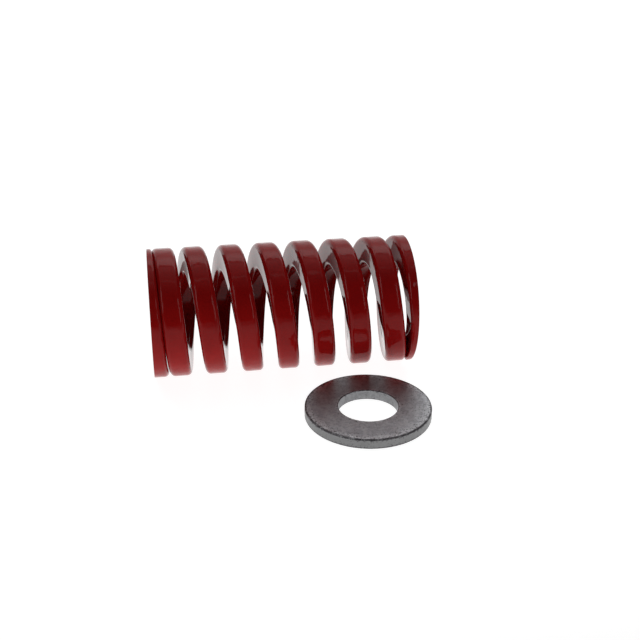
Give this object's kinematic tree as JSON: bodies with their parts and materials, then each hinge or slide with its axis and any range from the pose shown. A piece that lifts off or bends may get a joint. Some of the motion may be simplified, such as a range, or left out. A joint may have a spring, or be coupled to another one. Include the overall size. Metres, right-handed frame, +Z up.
{
  "type": "die spring with washer",
  "caption": "Heavy compression spring of rectangular wire with closed, ground ends, lying on its side beside a loose flat washer.",
  "frame": {"origin": "bottom centre of the box that holds the spring and the washer, on the plane they lie on", "axes": "+X along the spring, from its base face to its free face; +Z up; the washer lies in front of the spring, towards -Y"},
  "size_m": [0.0382, 0.0356, 0.0189],
  "materials": {
    "spring_paint": "gloss red enamel over steel wire",
    "washer_steel": "dull, handled plain steel, mottled and speckled"
  },
  "bodies": {
    "spring": {"base_end_coil": "spring_paint", "active_coils": "spring_paint"},
    "free_end": {"free_end_coil": "spring_paint"},
    "washer": {"flat_washer": "washer_steel"}
  },
  "joints": [
    {"name": "compression", "type": "slide", "parent": "spring", "child": "free_end", "axis": [-1, 0, 0], "range_m": [0, 0.0114], "stiffness_N_per_m": 105000, "deforming": ["active_coils"]},
    {"name": "washer_lift", "type": "slide", "parent": "spring", "child": "washer", "axis": [0, 0, 1], "range_m": [0, 0.03]}
  ]
}
